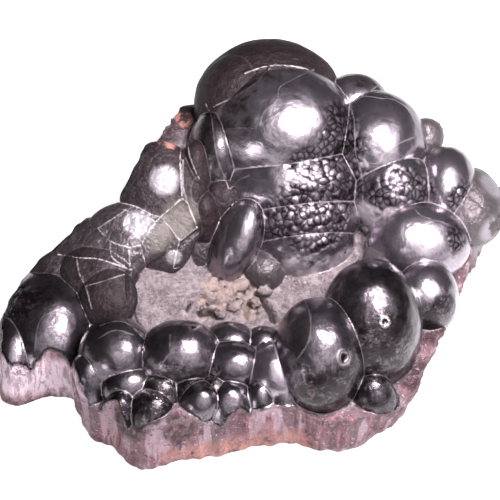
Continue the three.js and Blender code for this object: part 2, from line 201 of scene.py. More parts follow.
# Round patches of a look: place in the view plane, millimetres right of and above the middle, and reach.
PATCHES = {
    "beads": ((18, 26, 5), (17.4, 20.5, 7), (11.4, 17.4, 5), (17.5, 13, 8), (10, 9.4, 6), (5, 6, 5.4),
              (15, 5.5, 7), (11, 2.6, 5), (31, 13, 5.4), (26.6, 11, 4.6), (34, 12, 4.4), (42.6, 10, 4.6),
              (41.4, 2.4, 3.6)),
    # Partly a brownish tint and partly painted shade over the top and left of the dome and on the left
    # facets.
    "brown": ((4, 37, 7), (-2, 33.6, 7), (-6, 29, 6.4), (-9, 24, 6), (-10, 18, 6), (-10.6, 12, 5.4),
              (12, 38.6, 6), (-8.4, 6, 4), (-3, 26, 5), (-28.4, -9.6, 5), (-33, -3, 4), (22, 33, 3.4)),
    # Painted shade, with pitted skin: darkens the lower parts of the front lobes and a few other places.
    "dark": ((27, -20, 8), (24.4, -24, 6), (20.4, -27, 6.4), (15, -29, 7), (36.4, -15, 5),
             (-8.6, -26, 4), (38, -20, 5), (34, -26, 5), (39, -12, 4), (-15, -27, 5), (-20, -31, 5),
             (-24, -34, 5), (-14, -36, 4), (-46, -10, 5)),
    "tan": ((-6, -7.5, 4.6), (-2, -9, 4.6), (-8, -11, 3.6), (0, -12, 3), (-3.4, -5.4, 3), (-14, 6, 4.6),
            (-18, 2, 3), (-12.6, 8.4, 3)),
    "rust": ((-15, -40, 4), (-10, -39.6, 4), (-5, -39, 4), (0, -38.4, 4), (5, -37.8, 4), (10, -37, 4),
             (-36, -25, 2.5), (-16.5, 21, 2), (-14.2, 26, 3)),
    # Partly pale matte skin and partly painted highlights and glints on the dull plates.
    "white": ((25, 7.4, 1.8), (28, 7.4, 1.8), (-22.4, 5.4, 3.4), (-15.2, -1.4, 1.8), (10, -3.4, 4),
              (14, -4, 4), (19, -2.6, 4), (22, 2, 4), (23.4, 7, 3.4), (-17, 14, 3.4), (48.6, 13, 3.6),
              (48.4, 4, 3.4)),
    "bleached": ((-48, -26, 6), (-43, -26, 6), (-38, -25.6, 6), (-34, -25.6, 4.6)),
}
PATCH_EDGE = 0.35  # share of a patch's reach over which it fades

# Lamps: name, then metres right of, above and towards the camera from the stone, size and watts.
LAMPS = (
    ("key", 0.042, 0.050, 0.100, 0.055, 0.46), ("fill", -0.12, -0.10, 0.115, 0.05, 0.055),
    ("wide", 0.20, 0.08, 0.55, 1.0, 3.6), ("middle", 0.20, 0.12, 0.55, 0.5, 1.1),
)
LAMP_COLOUR = (1.0, 0.97, 1.0)
SKY = {"Color": (0.9, 0.88, 0.95, 1.0), "Strength": 0.015}
FLOOR_SIZE = 4.0  # m
FLOOR_FINISH = {"Roughness": 0.8, "Emission Color": (1.0, 1.0, 1.0, 1.0), "Emission Strength": 0.85}
VIEW_WIDTH = 0.1  # m that the view takes in at the stone
SENSOR_WIDTH = 36.0  # mm
CLIP_START = 0.01  # m

# Fine seams that divide the skin: strength, then points on the stone in the view plane, millimetres
# right of and above the view's middle.
SEAMS = (
    (0.55, ((-7.4, 28.6), (-3, 30.8), (1, 33.2), (3, 35.4), (5.4, 37.4))),
    (0.7, ((-8.8, 29.2), (-7.8, 27), (-7.4, 24), (-7, 21), (-6.4, 18), (-5.6, 15.6), (-4.2, 12))),
    (0.4, ((-4.4, 24.2), (-1.6, 24.4), (1, 24.2))),
    (1.0, ((-1, 35.3), (3, 36.6), (6.2, 36.9), (10, 36.4), (12.6, 35.6), (15, 34.3), (17.6, 32.1),
           (19, 30.4), (20, 28.8), (20.8, 26), (21, 22), (21.1, 19), (21.9, 16.5), (22.5, 14),
           (22.6, 11), (22.1, 7))),
    (0.35, ((6, 24.4), (9.4, 24.2))),
    (0.45, ((2, 25), (2.8, 27.6), (5.4, 30), (6, 32.6), (10, 34.8), (13, 36.2))),
    (0.5, ((-4, 12.2), (-2, 14), (0, 15))),
    (0.9, ((20.4, 29.6), (23, 30.6), (26, 30.4), (28.6, 30.2), (31, 28.6), (33, 25.5), (35, 22),
           (36, 17))),
    (0.6, ((23, 30.6), (24.4, 32), (26, 33.2))),
    (0.6, ((22.6, 17.6), (25.6, 17.4), (27, 19.4), (30, 21.4), (33, 22.6))),
    (0.6, ((-43, -20), (-42.6, -16), (-41.6, -13.6), (-39, -12), (-37, -11.4))),
    (0.8, ((-30, -15), (-27, -14.2), (-24, -15), (-21, -18))),
    (0.6, ((-30.4, -17.6), (-27, -16), (-23, -17))),
    (0.5, ((-16, -17), (-16, -21))),
    (0.6, ((-18, -23.6), (-16, -20.8), (-13, -20.4), (-10, -20.4))),
    (0.7, ((-12.6, 24), (-12, 19), (-11, 16), (-10, 14))),
    (0.5, ((-13.4, 18), (-13.4, 13), (-12.6, 10), (-11.6, 7), (-10.4, 5))),
    (0.5, ((32.6, 8.6), (34, 7), (36, 6.2), (38, 5.6), (41, 4.4))),
    (0.5, ((10.4, -9), (12, -13), (11.8, -18), (9, -22.4))),
    (1.0, ((-17.9, 6.6), (-15.6, 8.6), (-14, 10), (-12.8, 9.8), (-11.6, 7.2), (-10.6, 4.4))),
    (1.0, ((-10.6, 4.4), (-12.2, 3.2), (-14, 2), (-15.8, 4.2), (-17.9, 6.6))),
    (0.9, ((-17.9, 6.6), (-20, 4.2), (-21.6, 1), (-21.2, -2), (-20.8, -4))),
    (1.0, ((-14, 2), (-14.6, 0), (-15.4, -3.6))),
    (0.7, ((-15.4, -3.6), (-12, -3.2), (-8.9, -3.1), (-7.8, 0))),
    (1.0, ((-26.4, 9.4), (-22.6, 8.6), (-20, 7.2), (-17.9, 6.6))),
    (0.7, ((-26, 8.2), (-22, 7), (-18.6, 5.6))),
    (0.8, ((-13.4, 22), (-14, 19), (-13.8, 14), (-13.6, 10.6))),
    (0.9, ((-30.4, 4.2), (-28, 1.8), (-24.4, 0.6), (-21.8, 1))),
    (0.8, ((-30.4, 4.2), (-27, 6.4), (-24.6, 8.2))),
    (0.8, ((-28, 1.8), (-27.6, -1.4), (-25, -3.4))),
    (0.7, ((-24.2, 0.4), (-24, -3.4))),
    (1.0, ((-38.4, -1), (-34, -1.6), (-30.4, -1.8), (-26, -3.2), (-23.4, -4))),
    (0.6, ((-34.6, -2), (-34, -5), (-32.6, -8), (-31.6, -12))),
    (0.6, ((-32.6, -7.2), (-28, -5.8), (-24.8, -4.8))),
)

# Cracks and gaps, carved and painted dark with shade, given as the seams are; the first number is how
# wide and deep they are.
CRACKS = (
    (0.5, ((-22.8, -12), (-22, -14.4), (-20.4, -16.4))),
    (0.35, ((-24.2, -3.6), (-24.4, -6.6), (-24.2, -9.6))),
    (1.0, ((1.4, -9.4), (3, -10.6), (4.2, -12.4), (4.8, -14.2))),
    (0.8, ((-9.6, -12.8), (-7.6, -12.4))),
    (0.6, ((-12.4, -12), (-11.4, -10.8))),
    (0.4, ((-10.6, 3.6), (-12.4, 2.4), (-14, 1.2))),
)
SEAM_STEP = 0.3  # mm between the points that a seam is followed with
SEAM_REACH = 0.6  # mm from a seam within which faces are made finer
CRACK_REACH = 0.8  # mm from a crack within which faces are made finer

# Small ring-shaped pits on the lobes: place in the view plane and radius.
RING_PITS = ((27, -14.4, 0.8), (18.8, -21.4, 1.2), (-2, -2.2, 0.5), (-11.6, -15.4, 0.8))
RING_REACH, RING_WIDTH, RING_HOLE = 2, 0.35, 0.6  # shares of the radius: reach, width and dark middle

# Lobes with a dull, flat-looking skin, by the start of their name.
DULL = ("plate", "dome back", "dome shoulder", "dome flank", "long kidney toe", "right flange",
        "right chip", "mid right facet", "back left", "left facet", "chip")

# How light a lobe's skin is, from 0 to 1, by the start of its name; the first match counts.
TONES = (
    ("dome back", 0.0), ("dome shoulder", 0.05), ("dome left", 0.25), ("dome flank", 0.0),
    ("dome", 0.6), ("long kidney", 0.6), ("right flange", 0.9), ("right chip", 1.0),
    ("right outer", 1.0), ("right low", 0.6), ("right", 0.75), ("mid right", 0.8), ("front low", 0.0),
    ("front edge", 0.15), ("left facet near", 0.0), ("left facet", 0.12), ("left great", 0.2),
    ("back", 0.1), ("great", 0.12), ("middle toe", 0.75), ("plate upper", 0.1), ("plate middle", 0.5),
    ("plate small", 0.5), ("plate", 0.3), ("", 0.25),
)

# Sizes in mm, detail and roughness of the noises that the finish is mixed from.
NOISES = {
    "cloud": (6.0, 3.0, 0.5), "speck": (0.7, 3.0, 0.6), "grain": (0.35, 2.0, 0.6),
    "mottle": (2.2, 4.0, 0.65), "wander": (3.0, 3.0, 0.6), "patch": (4.5, 3.0, 0.6),
}
# How far the patterns of the broken sides are drawn out: share of the height that is kept.
FIBRE_DRAW, STREAK_DRAW, COLUMN_DRAW = 0.16, 0.3, 0.14

# Forms of the relief, in millimetres where they are lengths.
SWELL_LENGTH = 8
GRIT_LENGTHS = (3.2, 0.9)
RUBBLE_DENSITY = 0.42  # pieces to the millimetre
RUBBLE_HEIGHT = 3.0  # times the height of the grit
FRACTURE_LENGTH = 6
FOOT_HEIGHT = 1.5  # over which the broken sides turn rough above the flat underside
RIDGE_HEIGHT, DULL_RIDGE_HEIGHT = 0.02, 0.12
RING_HEIGHT = 0.2
BEAD_TOP, BEAD_FALL, BEAD_SOFTNESS = 0.4, 1.35, 0.15  # of a bead's rounded profile

# The relief tree's inputs that are sizes.
RELIEF_SIZES = ("Swell", "Bead Size", "Bead Height", "Grit Height", "Fibre Width", "Fibre Height",
                "Fracture Height", "Crack Depth")


# ---------------------------------------------------------------- node trees
class Wire:
    """A socket in a node tree, with arithmetic that adds Math nodes to the tree."""

    def __init__(self, sheet, socket):
        self.sheet = sheet
        self.socket = socket

    def maths(self, operation, *others, clamp=False):
        node = self.sheet.tree.nodes.new("ShaderNodeMath")
        node.operation = operation
        node.use_clamp = clamp
        for place, value in zip(node.inputs, (self, *others)):
            self.sheet.feed(place, value)
        return Wire(self.sheet, node.outputs[0])

    def __add__(self, other):
        return self.maths("ADD", other)

    def __sub__(self, other):
        return self.maths("SUBTRACT", other)

    def __mul__(self, other):
        return self.maths("MULTIPLY", other)

    def __truediv__(self, other):
        return self.maths("DIVIDE", other)

    def __pow__(self, other):
        return self.maths("POWER", other)

    def __rsub__(self, other):
        return self.maths("MULTIPLY", -1.0) + other

    __radd__ = __add__
    __rmul__ = __mul__

    def clamped(self):
        return self.maths("ADD", 0.0, clamp=True)

    def fade(self, low, high):
        """1 below low and 0 above high, with a smooth step between."""
        return self.sheet.add(
            "ShaderNodeMapRange",
            {"Value": self, "From Min": low, "From Max": high, "To Min": 1.0, "To Max": 0.0},
            out="Result", interpolation_type="SMOOTHSTEP")

    def rise(self, low, high):
        """0 below low and 1 above high, with a smooth step between."""
        return 1.0 - self.fade(low, high)


class Sheet:
    """A node tree that is being drawn up."""

    def __init__(self, tree):
        self.tree = tree
        tree.nodes.clear()

    def feed(self, socket, value):
        if isinstance(value, Wire):
            self.tree.links.new(value.socket, socket)
        else:
            socket.default_value = value

    @staticmethod
    def find(sockets, key):
        """The socket in use with a number, a name or an identifier."""
        used = [socket for socket in sockets if socket.enabled]
        if isinstance(key, int):
            return used[key]
        return next(socket for socket in used if key in (socket.name, socket.identifier))

    def add(self, kind, values=None, out=0, **settings):
        """Adds a node: its settings first, then the values or links of its sockets."""
        node = self.tree.nodes.new(kind)
        for key, value in settings.items():
            setattr(node, key, value)
        for key, value in (values or {}).items():
            socket = self.find(node.inputs, key)
            if isinstance(value, (list, tuple)) and any(isinstance(v, Wire) for v in value):
                for wire in value:
                    self.feed(socket, wire)
            else:
                self.feed(socket, value)
        return Wire(self, self.find(node.outputs, out)) if node.outputs else node

    def blend(self, share, first, second):
        """Mixes two colours by a share."""
        return self.add("ShaderNodeMix", {"Factor": share, "A": first, "B": second},
                        data_type="RGBA", clamp_factor=True)

    def vector(self, operation, first, second=None, scale=None):
        values = {0: first}
        if second is not None:
            values[1] = second
        if scale is not None:
            values["Scale"] = scale
        return self.add("ShaderNodeVectorMath", values, operation=operation)

    def noise(self, place, size, detail=2.0, rough=0.5):
        """Noise from 0 to 1 with features of a size, given in the unit of the place."""
        return self.add("ShaderNodeTexNoise", {
            "Vector": place, "Scale": 1.0 / size, "Detail": detail, "Roughness": rough})

    def drawn_out(self, place, share):
        """A place whose height counts by a share, so that a pattern on it is drawn out upwards."""
        return self.vector("MULTIPLY", place, (1.0, 1.0, share))

    def uneven(self, place, unit):
        """A place that is shifted unevenly, so that the beads on it differ; unit is its millimetre."""
        shift = self.add("ShaderNodeTexNoise", {"Vector": place, "Scale": 0.4 / unit}, out="Color")
        return self.vector("ADD", place, self.vector("SCALE", shift, scale=1.6 * unit))

    def stored(self, name, kind="FLOAT"):
        """A geometry tree's wire for a named attribute."""
        return self.add("GeometryNodeInputNamedAttribute", {"Name": name}, out="Attribute",
                        data_type=kind)

    def finish(self, geometry, material):
        """Ends a geometry tree: plain geometry with its material."""
        whole = self.add("GeometryNodeRealizeInstances", {"Geometry": geometry})
        final = self.add("GeometryNodeSetMaterial", {"Geometry": whole, "Material": material})
        self.add("NodeGroupOutput", {"Geometry": final})


def group_input(tree, sheet, sockets):
    """Declares a geometry tree's named inputs and gives them as wires by name."""
    tree.interface.new_socket("Geometry", in_out="OUTPUT", socket_type="NodeSocketGeometry")
    for name, kind in (("Geometry", "Geometry"), *sockets):
        tree.interface.new_socket(name, in_out="INPUT", socket_type="NodeSocket" + kind)
    node = tree.nodes.new("NodeGroupInput")
    return {socket.name: Wire(sheet, socket) for socket in node.outputs if socket.name}


def run_tree(piece, tree, values):
    """Runs a geometry tree on a piece with values for its inputs and keeps the result as its mesh."""
    modifier = piece.modifiers.new(tree.name, "NODES")
    modifier.node_group = tree
    for item in tree.interface.items_tree:
        if item.item_type == "SOCKET" and item.in_out == "INPUT" and item.name in values:
            modifier[item.identifier] = values[item.name]
    graph = bpy.context.evaluated_depsgraph_get()
    mesh = bpy.data.meshes.new_from_object(piece.evaluated_get(graph), depsgraph=graph)
    piece.modifiers.clear()
    old = piece.data
    piece.data = mesh
    bpy.data.meshes.remove(old)


def placed(name, data):
    """A new object at the origin that holds a mesh, a camera or a lamp."""
    piece = bpy.data.objects.new(name, data)
    bpy.context.scene.collection.objects.link(piece)
    return piece


# ---------------------------------------------------------------- the stone's form
def plan_edge(step):
    """Places evenly spaced along the plan's edge, and the way out of it at each, in millimetres."""
    corners = np.array(PLAN, float)
    sides = np.roll(corners, -1, 0) - corners
    ends = np.concatenate([[0.0], np.cumsum(np.hypot(*sides.T))])
    along = np.linspace(0.0, ends[-1], int(ends[-1] / step), endpoint=False)
    side = np.searchsorted(ends, along, "right") - 1
    share = (along - ends[side]) / (ends[side + 1] - ends[side])
    spots = corners[side] + sides[side] * share[:, None]
    for _ in range(CORNER_ROUNDING):
        spots = (np.roll(spots, 1, 0) + 2 * spots + np.roll(spots, -1, 0)) / 4
    way = np.roll(spots, -1, 0) - np.roll(spots, 1, 0)
    way /= np.hypot(*way.T)[:, None]
    return spots, np.stack([way[:, 1], -way[:, 0]], 1)


def ground_height(x, y):
    """Height of the ground at each place, blended from the marks, in millimetres."""
    total = np.zeros_like(x)
    weights = np.zeros_like(x)
    for mx, my, mz in GROUND:
        weight = ((x - mx) ** 2 + (y - my) ** 2 + MARK_SOFTNESS) ** -MARK_POWER
        total += weight * mz
        weights += weight
    return total / weights


def broken_edge(spots, outward, height, rough):
    """The edge at a height, where the broken sides lean and roughen, in millimetres."""
    moved = spots.copy()
    angle = np.arctan2(spots[:, 1], spots[:, 0])
    for toward, out, tall, focus in LEANS:
        aim = math.radians(toward)
        facing = np.maximum(0.0, np.cos(angle - aim)) ** focus
        moved += np.outer(out * facing * min(1.0, height / tall), (math.cos(aim), math.sin(aim)))
    lumps = np.zeros(len(spots))
    for length, share in FRACTURE_LUMPS:
        lumps += [share * noise.noise(Vector((x, y, FIBRE_STRETCH * height)) / length) for x, y in spots]
    return moved + outward * (rough * lumps)[:, None]


def body_mesh(name, rings):
    """Closed mesh from rings of points in millimetres: a fan, the rings in turn and a flat floor fan."""
    spokes = len(rings[0])
    top = [0.0, 0.0, float(rings[0][:, 2].mean())]
    points = np.vstack([[top], *rings, [[0.0, 0.0, 0.0]]])
    points[:, 0] -= CENTRE[0]
    points[:, 1] -= CENTRE[1]
    faces = []
    last = len(points) - 1
    for k in range(spokes):
        n = (k + 1) % spokes
        faces.append((0, 1 + k, 1 + n))
        for i in range(len(rings) - 1):
            a, b = 1 + i * spokes, 1 + (i + 1) * spokes
            faces.append((a + k, b + k, b + n, a + n))
        b = 1 + (len(rings) - 1) * spokes
        faces.append((last, b + n, b + k))
    mesh = bpy.data.meshes.new(name)
    mesh.from_pydata((points * MM).tolist(), [], faces)
    mesh.update()
    return mesh


def ground_mesh(step):
    """The matte ground: its height follows the marks out past the plan's edge."""
    spots = plan_edge(step)[0]
    spots *= 1 + GROUND_MARGIN / np.hypot(*spots.T)[:, None]
    count = int(np.hypot(*spots.T).mean() / step)
    rings = []
    for i in range(1, count + 1):
        x, y = spots.T * i / count
        rings.append(np.stack([x, y, ground_height(x, y)], 1))
    foot = rings[-1].copy()
    foot[:, 2] = GROUND_FOOT
    rings.append(foot)
    return body_mesh("ground", rings)


def block_mesh(step, rough):
    """The block that the stone broke off as, reaching up over the lobes."""
    spots, outward = plan_edge(step)
    rings = []
    for height in (BLOCK_HEIGHT, *np.arange(SIDE_HEIGHT, -step / 2, -step)):
        height = max(height, 0.0)
        edge = broken_edge(spots, outward, height, rough)
        rings.append(np.column_stack([edge, np.full(len(edge), height)]))
    return body_mesh("block", rings)


class Lobe:
    """One ellipsoid of the crust in the model's frame, in millimetres."""

    def __init__(self, name, at, half, lean=0, roll=0):
        self.name = name
        self.at = np.array([at[0] - CENTRE[0], at[1] - CENTRE[1], at[2]], float)
        self.half = np.array(half, float)
        self.angles = (math.radians(lean), math.radians(roll), 0.0)
        self.turn = np.array(Euler(self.angles, "XYZ").to_matrix())

    def field(self, points):
        """Value of the ellipsoid's equation, and its slope, at each point."""
        local = (points - self.at) @ self.turn / self.half
        value = (local ** 2).sum(1) - 1.0
        slope = (2 * local / self.half) @ self.turn.T
        return value, slope

    def gap(self, points):
        """About how far each point lies outside the surface."""
        value, slope = self.field(points)
        return value / np.maximum(np.linalg.norm(slope, axis=1), 1e-9)


def lobe_points():
    """One point for each lobe and chip, with the values that the lobe tree reads."""
    lobes = [Lobe(*row) for row in FORMS]
    mesh = bpy.data.meshes.new("lobes")
    mesh.from_pydata([(lobe.at * MM).tolist() for lobe in lobes], [], [])
    sizes = [lobe.half.prod() ** (1 / 3) for lobe in lobes[:len(LOBES)]]
    cuts = [1 + sum(size >= limit for limit in BALL_SIZES) for size in sizes] + [0] * len(CHIPS)
    for name, kind, field, values in (
            ("half", "FLOAT_VECTOR", "vector", np.concatenate([lobe.half * MM for lobe in lobes])),
            ("turn", "FLOAT_VECTOR", "vector", np.concatenate([lobe.angles for lobe in lobes])),
            ("detail", "INT", "value", cuts)):
        mesh.attributes.new(name, kind, "POINT").data.foreach_set(field, values)
    return mesh


def lobe_tree():
    """Sets an icosphere on every lobe point, joins them with the ground and breaks off the block."""
    tree = bpy.data.node_groups.new("Grow lobes", "GeometryNodeTree")
    sheet = Sheet(tree)
    wires = group_input(tree, sheet, (("Ground", "Object"), ("Block", "Object"), ("Stone", "Material")))
    balls = []
    for cuts in BALL_CUTS:
        ball = sheet.add("GeometryNodeMeshIcoSphere", {"Radius": 1.0, "Subdivisions": cuts})
        balls.append(sheet.add("GeometryNodeGeometryToInstance", {"Geometry": ball}))
    ball_set = sheet.add("GeometryNodeJoinGeometry", {"Geometry": balls[::-1]})
    turn = sheet.add("FunctionNodeEulerToRotation", {"Euler": sheet.stored("turn", "FLOAT_VECTOR")})
    lobes = sheet.add("GeometryNodeInstanceOnPoints", {
        "Points": wires["Geometry"], "Instance": ball_set, "Pick Instance": True,
        "Instance Index": sheet.stored("detail", "INT"), "Rotation": turn,
        "Scale": sheet.stored("half", "FLOAT_VECTOR")})
    ground, block = (sheet.add("GeometryNodeObjectInfo", {"Object": wires[name]}, out="Geometry")
                     for name in ("Ground", "Block"))
    grown = sheet.add("GeometryNodeMeshBoolean", {"Mesh 2": [lobes, ground]},
                      operation="UNION", solver="MANIFOLD")
    broken = sheet.add("GeometryNodeMeshBoolean", {"Mesh 2": [grown, block]},
                       operation="INTERSECT", solver="MANIFOLD")
    sheet.finish(broken, wires["Stone"])
    return tree


def mesh_points(mesh):
    """A mesh's points, in millimetres."""
    values = np.empty(len(mesh.vertices) * 3, np.float32)
    mesh.vertices.foreach_get("co", values)
    return values.reshape(-1, 3).astype(float) / MM


def store(mesh, name, values, domain="POINT"):
    """Keeps one number for each point or face of a mesh as a named attribute."""
    layer = mesh.attributes.get(name) or mesh.attributes.new(name, "FLOAT", domain)
    layer.data.foreach_set("value", np.asarray(values, np.float32))


def largest_island(bm):
    """Leaves only the largest connected shell of a bmesh."""
    left = set(bm.verts)
    best = []
    while left:
        seed = left.pop()
        island, queue = [seed], [seed]
        while queue:
            for edge in queue.pop().link_edges:
                for vert in edge.verts:
                    if vert in left:
                        left.discard(vert)
                        island.append(vert)
                        queue.append(vert)
        if len(island) > len(best):
            best = island
    keep = set(best)
    bmesh.ops.delete(bm, geom=[v for v in bm.verts if v not in keep], context="VERTS")


def clean_shell(mesh, weld):
    """Drops loose shells and sealed pockets and welds the slivers that the joins leave."""
    bm = bmesh.new()
    bm.from_mesh(mesh)
    largest_island(bm)
    bmesh.ops.remove_doubles(bm, verts=bm.verts, dist=weld * MM)
    bmesh.ops.dissolve_degenerate(bm, edges=bm.edges, dist=weld * MM)
    bmesh.ops.triangulate(bm, faces=[f for f in bm.faces if len(f.verts) > 3])
    bm.to_mesh(mesh)
    bm.free()


def form_tree(mesh):
    """A search tree of a mesh's faces, in millimetres."""
    return BVHTree.FromPolygons([v.co / MM for v in mesh.vertices], [p.vertices for p in mesh.polygons])


def form_gaps(tree, points):
    """Distance of each point from the nearest face of a form."""
    return np.array([tree.find_nearest(point)[3] for point in points])


def face_owner(points, lobes, ground, block):
    """Which surface each point lies on: a lobe's number, the ground, a broken side or the floor."""
    gaps = np.stack([abs(lobe.gap(points)) for lobe in lobes], 1)
    owner = gaps.argmin(1)
    best = gaps.min(1)
    for number, form in ((ON_GROUND, ground), (ON_SIDE, block)):
        gap = form_gaps(form, points)
        closer = (gap < best * FORM_LEAD) | ((number == ON_SIDE) & (gap < SIDE_SKIN))
        owner[closer] = number
        best = np.where(closer, gap, best)
    owner[points[:, 2] < FLOOR_SKIN] = ON_FLOOR
    return owner


def view_axes(elevation):
    """Right, up and towards the camera, for the view along +Y at an elevation."""
    up = Vector((0.0, math.sin(elevation), math.cos(elevation)))
    back = Vector((0.0, -math.cos(elevation), math.sin(elevation)))
    return Vector((1.0, 0.0, 0.0)), up, back


def view_target():
    """The point that the camera looks at, which is the middle of the view plane."""
    return Vector((-CENTRE[0] * MM, -CENTRE[1] * MM, TARGET_HEIGHT * MM))


class Sight:
    """Finds the place on the stone that lies behind a spot of the view plane."""

    def __init__(self, mesh, looks):
        self.surface = BVHTree.FromPolygons([v.co for v in mesh.vertices],
                                            [p.vertices for p in mesh.polygons])
        self.right, self.up, self.back = view_axes(looks.view_elevation)
        self.target = view_target()
        self.eye = self.target + self.back * looks.view_distance

    def place(self, across, above):
        """The seen place in millimetres, or None beside the stone."""
        aim = self.target + (self.right * across + self.up * above) * MM - self.eye
        hit = self.surface.ray_cast(self.eye, aim.normalized())[0]
        return None if hit is None else hit / MM


def line_tree(sight, lines):
    """A search tree of the points along every drawn line, with the strength at each."""
    found, strengths = [], []
    for strength, corners in lines:
        line = [Vector(corner) for corner in corners]
        ends = [line[0] * 2 - line[1], *line, line[-1] * 2 - line[-2]]
        for a, b, c, d in zip(ends, ends[1:], ends[2:], ends[3:]):
            steps = max(1, round((c - b).length / SEAM_STEP))
            for t in np.arange(steps) / steps:
                spot = 0.5 * (2 * b + (c - a) * t + (2 * a - 5 * b + 4 * c - d) * t ** 2
                              + (3 * b - 3 * c + d - a) * t ** 3)
                place = sight.place(*spot)
                if place is not None:
                    found.append(place)
                    strengths.append(strength)
    tree = KDTree(len(found))
    for i, place in enumerate(found):
        tree.insert(place, i)
    tree.balance()
    return tree, np.array(strengths)


def line_marks(points, tree, strengths):
    """Distance of each point to the nearest drawn line, and that line's strength."""
    found = [tree.find(point) for point in points]
    return np.array([hit[2] for hit in found]), strengths[[hit[1] for hit in found]]


def patch_share(points, sight, name):
    """How strongly each point has a patch's look, from 0 to 1."""
    share = np.zeros(len(points))
    for across, above, reach in PATCHES[name]:
        centre = sight.place(across, above)
        if centre is None:
            continue
        away = np.linalg.norm(points - np.array(centre), axis=1)
        share = np.maximum(share, np.clip((reach - away) / (PATCH_EDGE * reach), 0, 1))
    return share


def refine(mesh, chosen, longest):
    """Cuts the long edges of the chosen faces in half."""
    bm = bmesh.new()
    bm.from_mesh(mesh)
    bm.faces.ensure_lookup_table()
    edges = {edge for i in np.nonzero(chosen)[0] for edge in bm.faces[i].edges
             if edge.calc_length() > longest * MM}
    bmesh.ops.subdivide_edges(bm, edges=list(edges), cuts=1, use_grid_fill=True)
    bmesh.ops.triangulate(bm, faces=[f for f in bm.faces if len(f.verts) > 3])
    bm.to_mesh(mesh)
    bm.free()


def face_corners(mesh):
    """The three points of each triangle of a mesh."""
    corners = np.empty(len(mesh.polygons) * 3, np.int32)
    mesh.polygons.foreach_get("vertices", corners)
    return corners.reshape(-1, 3)


def mark_surfaces(mesh, ground, block):
    """Settles points on their true lobes and tells what each face and point belongs to."""
    lobes = [Lobe(*row) for row in FORMS]
    points = mesh_points(mesh)
    corners = face_corners(mesh)
    owner = face_owner(points[corners].mean(1), lobes, ground, block)
    low = np.full(len(points), 10 ** 6)
    high = np.full(len(points), -10 ** 6)
    for k in range(3):
        np.minimum.at(low, corners[:, k], owner)
        np.maximum.at(high, corners[:, k], owner)
    for number, lobe in enumerate(lobes[:len(LOBES)]):
        mine = np.nonzero((low == number) & (high == number))[0]
        for _ in range(SETTLE_STEPS):
            value, slope = lobe.field(points[mine])
            points[mine] -= slope * (value / (slope ** 2).sum(1))[:, None]
    mesh.vertices.foreach_set("co", (points * MM).astype(np.float32).ravel())
    return points, owner, low, high


# ---------------------------------------------------------------- relief
def relief_tree():
    """Raises the fine forms: swells and beads on the lobes, grit on the ground, fibres on the sides."""
    tree = bpy.data.node_groups.new("Raise relief", "GeometryNodeTree")
    sheet = Sheet(tree)
    wires = group_input(tree, sheet, (*((name, "Float") for name in RELIEF_SIZES), ("Stone", "Material")))
    named = {name: sheet.stored(name) for name in (
        "crust", "ground", "broken", "beads", "pit", "dull", "line", "line_strength", "crack",
        "crack_strength", "tan")}
    place = sheet.add("GeometryNodeInputPosition")
    normal = sheet.add("GeometryNodeInputNormal")
    edges = sheet.stored("crease", "BOOLEAN")
    crease_lines = sheet.add("GeometryNodeMeshToCurve", {"Mesh": wires["Geometry"], "Selection": edges})
    crease_mesh = sheet.add("GeometryNodeCurveToMesh", {"Curve": crease_lines})
    near = sheet.add("GeometryNodeProximity", {"Geometry": crease_mesh}, out="Distance",
                     target_element="EDGES")
    marked = sheet.add("GeometryNodeStoreNamedAttribute",
                       {"Geometry": wires["Geometry"], "Name": "seam", "Value": near * (1 / MM)},
                       data_type="FLOAT", domain="POINT")
    swell = (sheet.noise(place, SWELL_LENGTH * MM) - 0.5) * wires["Swell"] * 2.0
    bead_place = sheet.vector("DIVIDE", sheet.uneven(place, MM), wires["Bead Size"])
    cell = sheet.add("ShaderNodeTexVoronoi",
                     {"Vector": bead_place, "Scale": 1.0, "Smoothness": BEAD_SOFTNESS},
                     out="Distance", feature="SMOOTH_F1")
    bead = (BEAD_TOP - (cell * BEAD_FALL) ** 2.0) * wires["Bead Height"] * named["beads"]
    coarse, fine = (span * MM for span in GRIT_LENGTHS)
    grit = ((sheet.noise(place, coarse, 4.0, 0.6) - 0.5) * 2.0
            + (sheet.noise(place, fine, 2.0, 0.6) - 0.5)) * wires["Grit Height"] * named["ground"]
    stones = sheet.add("ShaderNodeTexVoronoi", {"Vector": place, "Scale": RUBBLE_DENSITY / MM},
                       out="Distance", feature="F1")
    rubble = (0.5 - stones) * named["tan"] * named["ground"] * wires["Grit Height"] * RUBBLE_HEIGHT
    fibre_place = sheet.vector("DIVIDE", sheet.drawn_out(place, FIBRE_DRAW), wires["Fibre Width"])
    fibre = (sheet.noise(fibre_place, 1.0, 3.0, 0.6) - 0.5) * 2.0 * wires["Fibre Height"]
    fracture = (sheet.noise(place, FRACTURE_LENGTH * MM, 3.0) - 0.5) * 2.0 * wires["Fracture Height"]
    above = sheet.add("ShaderNodeSeparateXYZ", {"Vector": place}, out="Z")
    foot = above.rise(0.0, FOOT_HEIGHT * MM)
    side = (fibre + fracture) * named["broken"] * foot
    ridge = (named["line"].fade(0.1, 0.5) * named["line_strength"]
             * (RIDGE_HEIGHT + named["dull"] * DULL_RIDGE_HEIGHT) * MM)
    cleft = (named["crack"] / (0.4 + named["crack_strength"])).fade(0.1, 0.9) * wires["Crack Depth"]
    lift = (swell * named["crust"] + bead + grit + rubble + side + ridge - cleft * named["crack_strength"]
            + named["pit"] * RING_HEIGHT * MM)
    offset = sheet.vector("SCALE", normal, scale=lift)
    moved = sheet.add("GeometryNodeSetPosition", {"Geometry": marked, "Offset": offset})
    sheet.finish(moved, wires["Stone"])
    return tree


